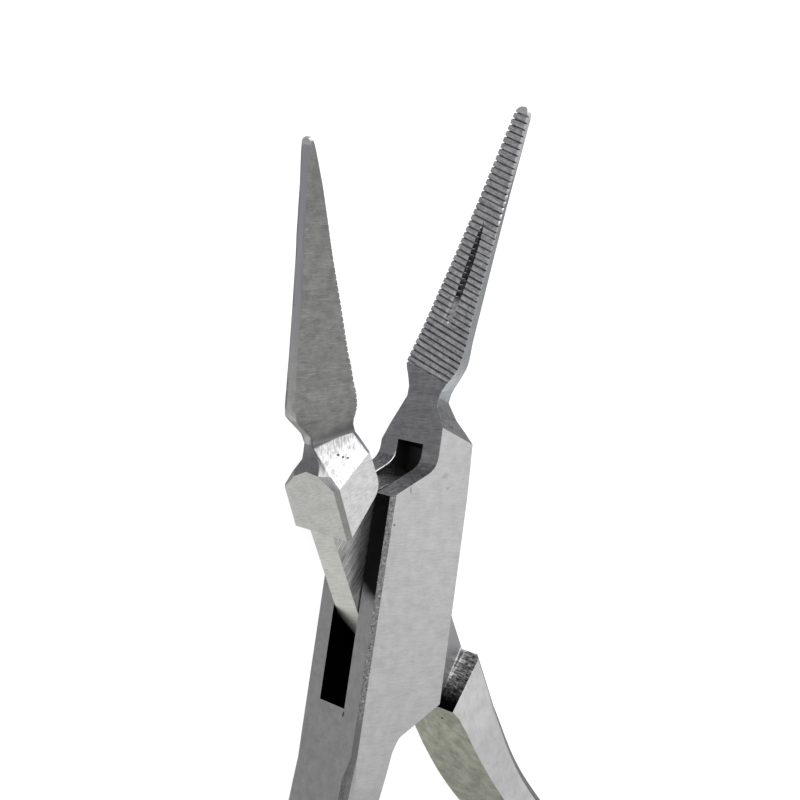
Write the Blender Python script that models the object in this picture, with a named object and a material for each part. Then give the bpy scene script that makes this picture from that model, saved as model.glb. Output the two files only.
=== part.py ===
"""Root tip extraction forceps with a box joint, standing open.

The forceps lies on its back cheek. Z = 0 is the resting plane, +Y runs from the pivot towards the
jaw tips and X is the opening direction. The pivot axis is the world Z axis. Both halves are drawn
closed, mirrored about the closing plane X = 0, and the tongue half is then turned open.
"""
import math

import bmesh
import bpy
from mathutils import Vector
from mathutils.geometry import tessellate_polygon

for old in list(bpy.data.objects):
    bpy.data.objects.remove(old, do_unlink=True)

MM = 0.001

# Box joint, in millimetres
THICK = 7.4             # thickness of the box, cheek face to cheek face
TONGUE = 3.0            # thickness of the tongue that laps through the box
SIDE_GAP = 0.10         # play between the tongue and each cheek
SEAT_GAP = 0.10         # play at the oblique seats that stop the halves
FACE_GAP = 0.05         # each jaw face stands this far off the closing plane
CHAMFER = 0.38          # chamfer along the outer edges of the box
HALF_WIDTH = 4.93       # half width of the box at the pivot
SIDE_DRAFT = 0.014      # the box widens this much per millimetre towards the handles
TOP_DRAFT = 0.058       # above the upper seat it draws in this much per millimetre
TONGUE_RADIUS = 10.66   # round ends of the tongue, about the pivot
POCKET_GAP = 0.20       # radial play between the tongue ends and the pocket
SEAT_TOP = TONGUE_RADIUS + 1.24         # where the upper oblique seat meets the closing plane
SEAT_TOP_SIDE = SEAT_TOP - 2.55         # where it leaves the side of the box
SEAT_FILLET = 1.1       # length of the fillet each way from the corner of the upper seat
SEAT_LOW = -TONGUE_RADIUS - 1.49        # the same two heights for the lower seat
SEAT_LOW_SIDE = SEAT_LOW + 2.95
CROTCH_FILLET = 1.0     # length of the fillet below the lower seat, along the handle
CROTCH_RUN = 0.35       # and along the seat
BOX_TOP = SEAT_TOP + 3.6        # the box ends at this height on the closing plane, in front
BOX_TOP_BACK = BOX_TOP - 2.1    # the same at the back
BOX_TOP_SIDE = BOX_TOP - 1.3    # and at its side
WEB_LAP = 0.30          # the lower web reaches this far past the closing plane
RELIEF_DEEP = 1.6       # depth of the relief above the pocket, behind the closing plane
RELIEF_TOP = BOX_TOP - 1.75     # its upper end
PIN_RADIUS = 1.6
PIN_PLAY = 0.02         # radial play of the pin in the cheeks
TONGUE_PLAY = 0.05      # radial play of the pin in the tongue
OPEN_DEG = 32.0         # angle between the halves as drawn

# Jaws, in millimetres
JAW_FOOT = BOX_TOP + 2.0        # height of the neck, where the jaw begins
JAW_LENGTH = 25.9       # from there to the tip
BEND_START = BOX_TOP + 0.1      # the jaw axis leaves the plane of the box here
BEND_SLOPE = 0.281      # rise of the jaw axis per millimetre of length
TEETH_TILT = 17.0       # tilt of the serrations, degrees
TOOTH_PITCH = 0.5305
TOOTH_DEPTH = 0.16
TOOTH_LAND = 0.66       # share of the pitch left flat
TIP_LAND = 0.65         # from the tip to the first serration
NECK_LAND = 2.35        # from the foot of the jaw to the last one
EDGE_DROP = 0.8         # the ground front edge of the face falls this much per millimetre
GROOVE_CENTRE = 11.4    # boat shaped groove along each serrated face: its middle above the foot
GROOVE_HALF_LENGTH = 4.65
GROOVE_HALF_WIDTH = 0.38
GROOVE_DEPTH = 0.50
GROOVE_BOW = 0.12       # its middle stands this far to the front

# Two sections of the neck: inner edge from back to front as height above the top of the box and
# place, then seven outer points as distance from the closing plane, height and place
NECK_STATIONS = (
    ((-0.5, -2.85), (0.7, 3.32), (
        (3.92, -0.40, 2.80), (4.00, -0.35, 2.62), (3.86, 0.45, 1.60), (3.82, 0.50, 0.45),
        (3.84, 0.10, -0.65), (3.98, -0.70, -2.10), (3.88, -0.80, -2.35))),
    ((0.9, -2.00), (1.3, 2.98), (
        (3.58, 0.50, 1.92), (3.66, 0.55, 1.76), (3.58, 1.00, 1.18), (3.56, 1.10, 0.52),
        (3.57, 0.90, -0.06), (3.64, 0.50, -0.78), (3.56, 0.45, -0.95))),
)

# Stations up the jaw: height above its foot, front half width, back half width, depth away from
# the face, front edge of the outer strip, width of the outer strip, width of the ground front
# edge, tilt of the section in degrees
JAW_STATIONS = (
    (0.00, 2.15, 1.75, 3.40, 0.25, 0.90, 0.05, 6.5),
    (0.80, 1.95, 1.93, 3.40, 0.20, 0.90, 0.05, 8.0),
    (1.40, 1.96, 2.35, 3.60, 0.16, 0.92, 0.05, 10.0),
    (2.00, 2.14, 2.90, 3.90, 0.10, 0.95, 0.05, 12.5),
    (2.40, 2.28, 3.18, 4.10, 0.06, 1.00, 0.05, 14.0),
    (3.20, 2.60, 3.10, 4.38, 0.02, 1.03, 0.05, 15.6),
    (3.90, 2.84, 2.97, 4.41, -0.02, 1.05, 0.05, TEETH_TILT),
    (4.70, 2.98, 2.86, 4.28, -0.06, 1.05, 0.05, TEETH_TILT),
    (5.40, 2.93, 2.74, 4.14, -0.10, 1.05, 0.05, TEETH_TILT),
    (7.10, 2.78, 2.52, 3.81, -0.03, 1.02, 0.05, TEETH_TILT),
    (8.10, 2.58, 2.42, 3.61, 0.02, 1.00, 0.05, TEETH_TILT),
    (12.50, 2.16, 1.92, 2.74, 0.20, 0.93, 0.06, TEETH_TILT),
    (17.50, 1.66, 1.41, 1.78, 0.42, 0.84, 0.12, TEETH_TILT),
    (19.50, 1.48, 1.26, 1.44, 0.50, 0.82, 0.16, TEETH_TILT),
    (22.50, 1.22, 1.04, 0.98, 0.62, 0.79, 0.27, TEETH_TILT),
    (25.10, 0.99, 0.84, 0.60, 0.67, 0.77, 0.30, TEETH_TILT),
    (25.50, 0.87, 0.74, 0.52, 0.58, 0.68, 0.26, 12.0),
    (25.75, 0.64, 0.56, 0.42, 0.44, 0.54, 0.18, 8.0),
    (25.90, 0.34, 0.30, 0.32, 0.24, 0.36, 0.10, 6.0),
)

# The left jaw is ground by hand and differs a little: height above its foot, lean of its face
# edges to the front, extra depth, extra width of the outer strip at the back, shift of that strip
# to the front
LEFT_JAW = (
    (0.00, 0.00, 0.00, 0.00, 0.00),
    (0.50, 0.00, -0.08, 0.16, 0.00),
    (1.00, 0.08, 0.02, 0.26, 0.00),
    (1.50, 0.16, 0.08, 0.32, 0.00),
    (2.40, 0.18, 0.13, 0.31, 0.00),
    (2.90, 0.12, 0.20, 0.31, 0.00),
    (3.50, 0.02, 0.07, 0.24, 0.00),
    (3.90, -0.12, 0.03, 0.17, 0.00),
    (5.40, -0.36, 0.00, 0.00, 0.00),
    (8.50, -0.30, 0.00, 0.00, 0.00),
    (12.50, -0.16, 0.00, 0.02, 0.00),
    (16.50, -0.06, 0.04, 0.04, 0.00),
    (18.50, 0.06, 0.10, 0.04, 0.00),
    (20.50, 0.20, 0.06, 0.02, 0.00),
    (22.50, 0.34, 0.00, 0.00, 0.00),
    (25.10, 0.30, -0.08, 0.00, 0.00),
    (25.50, 0.30, -0.05, 0.00, 0.12),
    (25.75, 0.34, 0.00, 0.00, 0.30),
    (25.90, 0.38, 0.00, 0.00, 0.42),
)

# Handles, in millimetres
HANDLE_TOP = SEAT_LOW - 1.25    # height where the handle begins
HANDLE_LENGTH = 87.8
HANDLE_STEP = 2.0       # spacing of its sections

# Stations down the handle: distance below its top, inner side, outer side, thickness, rounding of
# the outer edges, lean of the inner face (its back edge stands nearer the closing plane by this)
HANDLE_STATIONS = (
    (0.0, 0.55, 5.12, 7.40, 0.38, 0.00),
    (1.6, 0.82, 5.34, 7.40, 0.75, 0.15),
    (4.1, 1.24, 5.70, 7.30, 1.15, 0.40),
    (7.6, 1.98, 6.25, 7.10, 1.50, 0.70),
    (11.6, 3.05, 7.05, 6.90, 1.65, 0.95),
    (16.6, 4.60, 8.50, 6.75, 1.70, 0.95),
    (24.6, 7.30, 11.10, 6.60, 1.75, 0.60),
    (34.6, 9.70, 13.50, 6.50, 1.80, 0.20),
    (46.6, 10.70, 14.50, 6.50, 1.85, 0.00),
    (58.6, 10.10, 13.90, 6.50, 1.85, 0.00),
    (70.6, 8.40, 12.30, 6.50, 1.85, 0.00),
    (80.6, 7.10, 11.00, 6.40, 1.80, 0.00),
    (86.1, 6.90, 10.70, 6.20, 1.75, 0.00),
    (87.8, 7.25, 10.30, 5.60, 1.40, 0.00),
)

MID = THICK / 2
SLOT = TONGUE + 2 * SIDE_GAP
JAW_STRETCH = JAW_LENGTH / JAW_STATIONS[-1][0]
HANDLE_STRETCH = HANDLE_LENGTH / HANDLE_STATIONS[-1][0]


def half_width(y):
    """Half width of the box at a height; above the upper seat the side draws in faster."""
    if y > SEAT_TOP_SIDE:
        return HALF_WIDTH - SIDE_DRAFT * SEAT_TOP_SIDE - TOP_DRAFT * (y - SEAT_TOP_SIDE)
    return HALF_WIDTH - SIDE_DRAFT * y


def side_height(radius):
    """Height at which a circle about the pivot leaves the side of the box."""
    y = radius
    for _ in range(8):
        y = math.sqrt(radius**2 - half_width(-y) ** 2)
    return y


def table(stations, y):
    """Row of a station table at a height, straight between the rows."""
    rows = sorted(stations)
    if y <= rows[0][0]:
        return rows[0][1:]
    for low, high in zip(rows, rows[1:]):
        if y <= high[0]:
            k = (y - low[0]) / (high[0] - low[0])
            return tuple(a + k * (b - a) for a, b in zip(low[1:], high[1:]))
    return rows[-1][1:]


def smooth_table(stations, y):
    """Row of a station table at a height, on a smooth curve through the rows."""
    rows = sorted(stations)
    for i in range(len(rows) - 1):
        if y <= rows[i + 1][0] or i == len(rows) - 2:
            break
    p1, p2 = rows[i], rows[i + 1]
    p0 = rows[max(i - 1, 0)]
    p3 = rows[min(i + 2, len(rows) - 1)]
    span = p2[0] - p1[0]
    k = min(max((y - p1[0]) / span, 0.0), 1.0)
    out = []
    for j in range(1, len(p1)):
        m1 = (p2[j] - p0[j]) / (p2[0] - p0[0]) * span
        m2 = (p3[j] - p1[j]) / (p3[0] - p1[0]) * span
        out.append((2 * k**3 - 3 * k**2 + 1) * p1[j] + (k**3 - 2 * k**2 + k) * m1
                   + (3 * k**2 - 2 * k**3) * p2[j] + (k**3 - k**2) * m2)
    return tuple(out)


class Shell:
    """Collects corner points and faces of one closed body in millimetres."""

    def __init__(self, side):
        self.side = side
        self.points = []
        self.faces = []

    def point(self, u, y, w):
        """A corner u away from the closing plane, at height y, w in front of the middle plane."""
        self.points.append((self.side * u, y, w + MID))
        return len(self.points) - 1

    def face(self, corners):
        clean = []
        for c in corners:
            if not clean or clean[-1] != c:
                clean.append(c)
        if clean[0] == clean[-1]:
            clean.pop()
        self.faces.append(clean)

    def filled(self, corners):
        """A face of more than four corners as triangles."""
        if len(corners) < 5:
            return [corners]
        outline = [Vector(self.points[c]) for c in corners]
        return [[corners[i] for i in triangle] for triangle in tessellate_polygon([outline])]

    def fan(self, hub, corners):
        """Triangles from one corner to a row of corners."""
        for a, b in zip(corners, corners[1:]):
            self.face((hub, a, b))

    def skin(self, ring_a, ring_b):
        for i in range(len(ring_a)):
            j = (i + 1) % len(ring_a)
            self.face((ring_a[i], ring_a[j], ring_b[j], ring_b[i]))

    def object(self, name):
        mesh = bpy.data.meshes.new(name)
        bm = bmesh.new()
        verts = [bm.verts.new(p) for p in self.points]
        for corners in self.faces:
            for part in self.filled(corners):
                bm.faces.new([verts[c] for c in part])
        bmesh.ops.triangulate(bm, faces=bm.faces)
        bmesh.ops.scale(bm, vec=(MM, MM, MM), verts=bm.verts)
        bmesh.ops.recalc_face_normals(bm, faces=bm.faces)
        if bm.calc_volume(signed=True) < 0:
            bmesh.ops.reverse_faces(bm, faces=bm.faces)
        bm.to_mesh(mesh)
        bm.free()
        made = bpy.data.objects.new(name, mesh)
        bpy.context.scene.collection.objects.link(made)
        return made


def groove_at(y):
    """Half width, depth and place across the face of the boat shaped groove at a height."""
    k = (y - JAW_FOOT) / JAW_STRETCH - GROOVE_CENTRE
    fall = 1 - (k / GROOVE_HALF_LENGTH) ** 2
    if fall <= 0:
        return 0.0, 0.0, 0.0
    return GROOVE_HALF_WIDTH * math.sqrt(fall), GROOVE_DEPTH * fall**0.65, GROOVE_BOW * fall


def face_row(y, back, front, notch):
    """Points across the serrated face: back edge, five points for the groove, front edge."""
    half, depth, bow = groove_at(y)
    wide = max(half, 0.1)
    return [(-back, notch), (bow - wide, notch), (bow - wide * 0.55, max(notch, depth * 0.78)),
            (bow, max(notch, depth)), (bow + wide * 0.55, max(notch, depth * 0.78)),
            (bow + wide, notch), (front, notch)]


def jaw_ring(shell, y, notch):
    """One section of the jaw at a height, with the face cut back by notch.

    The edges of a notch stay on the flanks, so that the flanks come out plain.
    """
    up = (y - JAW_FOOT) / JAW_STRETCH
    front, back, depth, strip_front, strip_wide, edge, tilt = table(JAW_STATIONS, up)
    if shell.side < 0:
        lean, deeper, wider, ahead = table(LEFT_JAW, up)
        front, back = front + lean, back - lean
        depth, strip_front, strip_wide = depth + deeper, strip_front + ahead, strip_wide + wider
    rise = BEND_SLOPE * (y - BEND_START)
    strip_back = strip_front - strip_wide
    drop = EDGE_DROP * edge
    flank = (front - strip_front) / (depth - drop)
    back -= notch / depth * (back + strip_back)
    if notch < drop:
        face_end, corner = front - edge + notch / EDGE_DROP, (drop, front)
    else:
        corner = (notch, front - (notch - drop) * flank)
        face_end = corner[1] - 0.01
    sin_t = math.sin(math.radians(tilt))
    cos_t = math.cos(math.radians(tilt))
    inner = [(u, w) for w, u in face_row(y, back, face_end, notch)] + [corner]
    crown = 0.05 * strip_wide
    ease = 0.10 * strip_wide
    outer = [(depth - ease, strip_front + ease * flank),
             (depth, strip_front),
             (depth + crown * 0.7, strip_front - 0.3 * strip_wide),
             (depth + crown, strip_front - 0.5 * strip_wide),
             (depth + crown * 0.7, strip_front - 0.7 * strip_wide),
             (depth, strip_back),
             (depth - ease, strip_back - ease * (back + strip_back) / depth)]
    ring = [shell.point(FACE_GAP + u, y - w * sin_t, rise + w * cos_t) for u, w in inner]
    ring += [shell.point(u, y - w * sin_t, rise + w * cos_t) for u, w in outer]
    return ring


def shoulder_ring(shell, inner_back, inner_front, outer):
    """One section of the shoulder, given by its inner edge ends and its seven outer points.

    Heights are above the top of the box.
    """
    (y0, w0), (y1, w1) = inner_back, inner_front
    mid = abs(w0) / (w1 - w0)
    step = 0.1 / (w1 - w0)
    ring = []
    for k in (0.0, mid - step, mid - step * 0.55, mid, mid + step * 0.55, mid + step, 1.0):
        ring.append(shell.point(FACE_GAP, BOX_TOP + y0 + k * (y1 - y0), w0 + k * (w1 - w0)))
    ring.append(shell.point(2 * FACE_GAP, BOX_TOP + y1, w1))
    ring += [shell.point(u, BOX_TOP + y, w) for u, y, w in outer]
    return ring


def jaw(shell):
    """Shoulder, neck and serrated jaw above the box; gives back the ring where the box begins."""
    wide, low = half_width(BOX_TOP_SIDE), half_width(BOX_TOP_BACK)
    side, back = BOX_TOP_SIDE - BOX_TOP, BOX_TOP_BACK - BOX_TOP
    rings = [shoulder_ring(shell, (back, -MID), (0.0, MID), (
        (wide - CHAMFER, side, MID), (wide, side - 0.05, MID - CHAMFER),
        (wide - 0.02, -0.2, 0.5 * MID), (wide - 0.02, 0.0, 0.1 * MID),
        (wide, -0.8, -0.4 * MID), (low, back - 0.1, -MID + CHAMFER),
        (low - CHAMFER, back - 0.1, -MID)))]
    rings += [shoulder_ring(shell, *station) for station in NECK_STATIONS]
    heights = [JAW_FOOT + JAW_STRETCH * row[0] for row in JAW_STATIONS]
    first = JAW_FOOT + JAW_LENGTH - TIP_LAND
    count = int((JAW_LENGTH - TIP_LAND - NECK_LAND) / TOOTH_PITCH) + 1
    last = first - (count - 1) * TOOTH_PITCH
    half = 0.5 * (1 - TOOTH_LAND) * TOOTH_PITCH
    plan = [(y, 0.0) for y in heights if y < last - half - 0.15]
    for i in reversed(range(count)):
        y = first - i * TOOTH_PITCH
        plan += [(y - half, 0.0), (y, TOOTH_DEPTH), (y + half, 0.0)]
    plan += [(y, 0.0) for y in heights if y > first + half + 0.05]
    rings += [jaw_ring(shell, y, notch) for y, notch in plan]
    for a, b in zip(rings, rings[1:]):
        shell.skin(a, b)
    shell.face(rings[-1])
    return rings[0]


def handle(shell):
    """Handle below the box; gives back the ring where the box begins."""
    last = HANDLE_STATIONS[-1][0]
    bend = HANDLE_STATIONS[-2][0]
    count = int(round(HANDLE_LENGTH / HANDLE_STEP))
    levels = [last * i / count for i in range(count)]
    levels = [down for down in levels if down < bend - 0.5]
    levels += [bend, bend + 0.8, bend + 1.3, last]
    rings = []
    for down in levels:
        inner, outer, thick, edge, lean = smooth_table(HANDLE_STATIONS, down)
        y = HANDLE_TOP - HANDLE_STRETCH * down
        if down == 0:
            outer = half_width(y)
        top = thick - MID
        ring = [shell.point(inner - lean, y, -MID), shell.point(inner, y, top)]
        flat = min(max((edge - CHAMFER) / 0.8, 0.0), 1.0)
        arc = []
        for k in (0.0, 0.25, 0.5, 0.75, 1.0):
            a = k * math.pi / 2
            arc.append(((1 - flat) * (1 - k) + flat * (1 - math.sin(a)),
                        (1 - flat) * k + flat * (1 - math.cos(a))))
        for across, down_by in arc:
            ring.append(shell.point(outer - edge * across, y, top - edge * down_by))
        for across, down_by in reversed(arc):
            ring.append(shell.point(outer - edge * across, y, -MID + edge * down_by))
        rings.append(ring)
    for a, b in zip(rings, rings[1:]):
        shell.skin(a, b)
    shell.face(rings[-1])
    return rings[0]


def edge_points(shell, sign, y, seat=None):
    """The four corners of the chamfered side at a height: front, two on the side, back.

    With a seat line given as height at the closing plane and slope, the inner two follow it.
    """
    wide = half_width(y)
    lift = 0.0 if seat is None else seat * CHAMFER
    return [shell.point(sign * (wide - CHAMFER), y + lift, MID),
            shell.point(sign * wide, y, MID - CHAMFER),
            shell.point(sign * wide, y, -MID + CHAMFER),
            shell.point(sign * (wide - CHAMFER), y + lift, -MID)]


def seat_fillet(gap):
    """Fillet between the closing plane and the upper seat, from the plane to the seat."""
    slope = (SEAT_TOP - SEAT_TOP_SIDE) / half_width(SEAT_TOP_SIDE)
    run = SEAT_FILLET / math.sqrt(1 + slope**2)
    row = []
    for k in (0.0, 0.2, 0.4, 0.6, 0.8, 1.0):
        along = k * k * run
        drop = (1 - k) ** 2 * SEAT_FILLET - k * k * run * slope
        row.append((along, SEAT_TOP + gap + drop))
    return row


def crotch_fillet():
    """Fillet between the handle's inner side and the lower seat, from the handle to the seat."""
    corner = (-FACE_GAP, SEAT_LOW)
    ends = []
    for (x, y), run in (((-HANDLE_STATIONS[0][1], HANDLE_TOP), CROTCH_FILLET),
                        ((half_width(SEAT_LOW_SIDE), SEAT_LOW_SIDE), CROTCH_RUN)):
        reach = math.hypot(x - corner[0], y - corner[1])
        ends.append((corner[0] + run * (x - corner[0]) / reach,
                     corner[1] + run * (y - corner[1]) / reach))
    row = []
    for k in (0.0, 0.2, 0.4, 0.6, 0.8, 1.0):
        row.append(tuple((1 - k) ** 2 * ends[0][i] + 2 * k * (1 - k) * corner[i]
                         + k * k * ends[1][i] for i in (0, 1)))
    return row


def box_half():
    """Right jaw, box and left handle in one piece; the slot and pin hole are cut afterwards."""
    shell = Shell(1)
    top = jaw(shell)
    shell.side = -1
    low = handle(shell)
    shell.side = 1
    upper_slope = (SEAT_TOP - SEAT_TOP_SIDE) / half_width(SEAT_TOP_SIDE)
    lower_slope = (SEAT_LOW_SIDE - SEAT_LOW) / half_width(SEAT_LOW_SIDE)
    rim_front = [shell.point(FACE_GAP - u, y, MID) for u, y in seat_fillet(0.0)]
    rim_back = [shell.point(FACE_GAP - u, y, -MID) for u, y in seat_fillet(0.0)]
    left = edge_points(shell, -1, SEAT_TOP_SIDE, upper_slope)
    low_front = [shell.point(x, y, MID) for x, y in crotch_fillet()]
    low_back = [shell.point(x, y, -MID) for x, y in crotch_fillet()]
    right = edge_points(shell, 1, SEAT_LOW_SIDE, -lower_slope)
    upper = edge_points(shell, 1, SEAT_TOP_SIDE)
    j_face, j_edge, j_f1, j_side, j_b1 = top[:7], top[7], top[8], top[9:14], top[14]
    h_back, h_front, h_f, h_b = low[0], low[1], low[2:7], low[7:12]
    front = rim_front + [left[0], h_f[0], h_front] + low_front
    front += [right[0], upper[0], j_f1]
    back = rim_back + [left[3], h_b[4], h_back] + low_back
    back += [right[3], upper[3], j_b1, j_face[0]]
    shell.face(front)
    shell.face([j_f1, j_edge, j_face[6], rim_front[0]])
    shell.face(back[::-1])
    shell.fan(rim_front[0], j_face[::-1] + [rim_back[0]])
    for i in range(len(rim_front) - 1):
        shell.face([rim_front[i], rim_front[i + 1], rim_back[i + 1], rim_back[i]])
    shell.face([rim_front[-1], rim_back[-1], left[3], left[2], left[1], left[0]])
    shell.fan(left[0], [left[1]] + h_f[::-1])
    shell.face([left[1], left[2], h_b[0], h_f[4]])
    shell.fan(left[3], h_b[::-1] + [left[2]])
    shell.face([h_front, h_back, low_back[0], low_front[0]])
    for i in range(len(low_front) - 1):
        shell.face([low_front[i], low_back[i], low_back[i + 1], low_front[i + 1]])
    shell.face([low_front[-1], low_back[-1], right[3], right[2], right[1], right[0]])
    for a, b in zip(right, right[1:]):
        i = right.index(a)
        shell.face([a, b, upper[i + 1], upper[i]])
    shell.face([upper[0], upper[1], j_side[0], j_f1])
    shell.face([upper[1], upper[2]] + j_side[::-1])
    shell.face([upper[2], upper[3], j_b1, j_side[-1]])
    return shell.object("box_half")


def shoulder_block():
    """Left jaw and the block that seats on the upper rim of the box."""
    shell = Shell(-1)
    top = jaw(shell)
    slope = (SEAT_TOP - SEAT_TOP_SIDE) / half_width(SEAT_TOP_SIDE)
    y = SEAT_TOP_SIDE + SEAT_GAP
    low = edge_points(shell, 1, y, slope)
    row = [(FACE_GAP + u, y) for u, y in reversed(seat_fillet(SEAT_GAP))]
    front = [shell.point(u, y, MID) for u, y in row]
    back = [shell.point(u, y, -MID) for u, y in row]
    j_face, j_edge, j_f1, j_side, j_b1 = top[:7], top[7], top[8], top[9:14], top[14]
    shell.face([low[0]] + front + [j_face[6], j_edge, j_f1])
    shell.face([low[3]] + back + [j_face[0], j_b1])
    shell.fan(front[-1], j_face[::-1] + [back[-1]])
    for i in range(len(front) - 1):
        shell.face([front[i], front[i + 1], back[i + 1], back[i]])
    shell.face([low[0], low[1], low[2], low[3], back[0], front[0]])
    shell.face([low[0], low[1], j_side[0], j_f1])
    shell.face([low[1], low[2]] + j_side[::-1])
    shell.face([low[2], low[3], j_b1, j_side[-1]])
    return shell.object("shoulder")


def step_block():
    """Right handle and the block that seats under the box."""
    shell = Shell(1)
    low = handle(shell)
    slope = (SEAT_LOW_SIDE - SEAT_LOW) / half_width(SEAT_LOW_SIDE)
    top = edge_points(shell, 1, SEAT_LOW_SIDE - SEAT_GAP, -slope)
    seat = [shell.point(FACE_GAP, SEAT_LOW - SEAT_GAP, MID),
            shell.point(FACE_GAP, SEAT_LOW - SEAT_GAP, -MID)]
    h_back, h_front, h_f, h_b = low[0], low[1], low[2:7], low[7:12]
    shell.face([seat[0], top[0], h_f[0], h_front])
    shell.face([seat[1], top[3], h_b[4], h_back])
    shell.face([seat[0], seat[1], h_back, h_front])
    shell.face([seat[0], seat[1], top[3], top[2], top[1], top[0]])
    shell.fan(top[0], [top[1]] + h_f[::-1])
    shell.face([top[1], top[2], h_b[0], h_f[4]])
    shell.fan(top[3], h_b[::-1] + [top[2]])
    return shell.object("step")


def prism(name, outline, low, high):
    """Upright prism over an outline, between two heights above the resting plane."""
    shell = Shell(1)
    bottom = [shell.point(x, y, low - MID) for x, y in outline]
    top = [shell.point(x, y, high - MID) for x, y in outline]
    shell.face(bottom[::-1])
    shell.face(top)
    shell.skin(bottom, top)
    return shell.object(name)


def arc(radius, x0, x1, upper, steps=18):
    """Points on a circle about the pivot from one x to another, on its upper or lower part."""
    sign = 1 if upper else -1
    a0 = math.acos(x0 / radius)
    a1 = math.acos(x1 / radius)
    return [(radius * math.cos(a0 + (a1 - a0) * i / steps),
             sign * radius * math.sin(a0 + (a1 - a0) * i / steps)) for i in range(steps + 1)]


def pocket_outline():
    """Outline of the slot through the box, open at the upper left and the lower right."""
    radius = TONGUE_RADIUS + POCKET_GAP
    far = HALF_WIDTH + 4.0
    side_y = side_height(radius) - 0.05
    side_x = math.sqrt(radius**2 - side_y**2)
    outline = [(-far, -side_y)] + arc(radius, -side_x, WEB_LAP, False)
    outline += [(WEB_LAP, SEAT_LOW - 4.0), (far, SEAT_LOW - 4.0), (far, side_y)]
    outline += arc(radius, side_x, RELIEF_DEEP, True)
    outline += [(RELIEF_DEEP - 0.1, RELIEF_TOP - 0.6), (RELIEF_DEEP - 0.55, RELIEF_TOP - 0.1),
                (-0.3, RELIEF_TOP), (-0.9, SEAT_TOP + 4.0), (-far, SEAT_TOP + 4.0)]
    return outline


def tongue_outline():
    """Outline of the tongue: flush with the sides, with round ends inside the box."""
    radius = TONGUE_RADIUS
    lap = WEB_LAP + 0.08
    side_low = -(half_width(-side_height(radius)) - 0.1)
    side_top = half_width(side_height(radius)) - 0.1
    outline = [(-(half_width(SEAT_TOP_SIDE) - 0.1), SEAT_TOP_SIDE + 1.6)]
    outline += arc(radius, side_low, lap, False)
    outline += [(lap, SEAT_LOW - 0.3), (lap + 0.5, SEAT_LOW - 0.6),
                (half_width(SEAT_LOW_SIDE) - 0.1, SEAT_LOW_SIDE - 1.6)]
    outline += arc(radius, side_top, -lap, True)
    outline += [(-lap, SEAT_TOP + 1.2)]
    return outline


def rod(name, radius, low, high, steps=64):
    """Upright cylinder on the pivot axis; the radius given is the one across its flats."""
    reach = radius / math.cos(math.pi / steps)
    ring = [(reach * math.cos(2 * math.pi * i / steps), reach * math.sin(2 * math.pi * i / steps))
            for i in range(steps)]
    return prism(name, ring, low, high)


def combine(target, tool, operation):
    """Apply a boolean of the tool to the target and drop the tool."""
    mod = target.modifiers.new(operation.lower(), "BOOLEAN")
    mod.operation = operation
    mod.solver = "EXACT"
    mod.object = tool
    graph = bpy.context.evaluated_depsgraph_get()
    done = bpy.data.meshes.new_from_object(target.evaluated_get(graph))
    target.modifiers.clear()
    target.data = done
    bpy.data.objects.remove(tool, do_unlink=True)


def steel(name, colour, roughness):
    mat = bpy.data.materials.new(name)
    mat.use_nodes = True
    shader = mat.node_tree.nodes["Principled BSDF"]
    shader.inputs["Base Color"].default_value = (*colour, 1.0)
    shader.inputs["Metallic"].default_value = 1.0
    shader.inputs["Roughness"].default_value = roughness
    return mat


def finish(obj, mat):
    """Weld, triangulate, shade and give the material."""
    bm = bmesh.new()
    bm.from_mesh(obj.data)
    bmesh.ops.remove_doubles(bm, verts=bm.verts, dist=0.002 * MM)
    bmesh.ops.dissolve_degenerate(bm, edges=bm.edges, dist=0.002 * MM)
    bmesh.ops.triangulate(bm, faces=bm.faces)
    bmesh.ops.recalc_face_normals(bm, faces=bm.faces)
    for face in bm.faces:
        face.smooth = True
    bm.to_mesh(obj.data)
    bm.free()
    obj.data.set_sharp_from_angle(angle=math.radians(24))
    obj.data.materials.clear()
    obj.data.materials.append(mat)
    obj.data.name = obj.name


def turn(obj, degrees):
    """Turn the mesh about the pivot axis, leaving the origin on it."""
    bm = bmesh.new()
    bm.from_mesh(obj.data)
    a = math.radians(degrees)
    for v in bm.verts:
        x, y = v.co.x, v.co.y
        v.co.x = x * math.cos(a) - y * math.sin(a)
        v.co.y = x * math.sin(a) + y * math.cos(a)
    bm.to_mesh(obj.data)
    bm.free()


slot_low = MID - SLOT / 2
slot_high = MID + SLOT / 2

box = box_half()
combine(box, prism("pocket", pocket_outline(), slot_low, slot_high), "DIFFERENCE")
combine(box, rod("pin_hole", PIN_RADIUS + PIN_PLAY, -1.0, THICK + 1.0), "DIFFERENCE")
finish(box, steel("box_steel", (0.55, 0.55, 0.56), 0.34))

tongue = shoulder_block()
blade = prism("blade", tongue_outline(), MID - TONGUE / 2, MID + TONGUE / 2)
combine(tongue, blade, "UNION")
combine(tongue, step_block(), "UNION")
combine(tongue, rod("tongue_hole", PIN_RADIUS + TONGUE_PLAY, -1.0, THICK + 1.0), "DIFFERENCE")
tongue.name = "tongue_half"
finish(tongue, steel("tongue_steel", (0.54, 0.54, 0.54), 0.36))
turn(tongue, OPEN_DEG)

pin = rod("pivot_pin", PIN_RADIUS, 0.0, THICK)
finish(pin, steel("pin_steel", (0.52, 0.52, 0.53), 0.3))
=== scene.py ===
# %% [markdown]
# # Root tip forceps, dressed for the camera
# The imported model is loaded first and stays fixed: two steel halves that cross in a box joint,
# and the pin they turn on. Everything below is in metres and in the model's own frame, where the
# forceps lies on its back cheek, +Y runs to the jaw tips and the pin stands along Z.

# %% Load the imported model
import math

import bmesh
import bpy
from mathutils import Matrix, Vector


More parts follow.
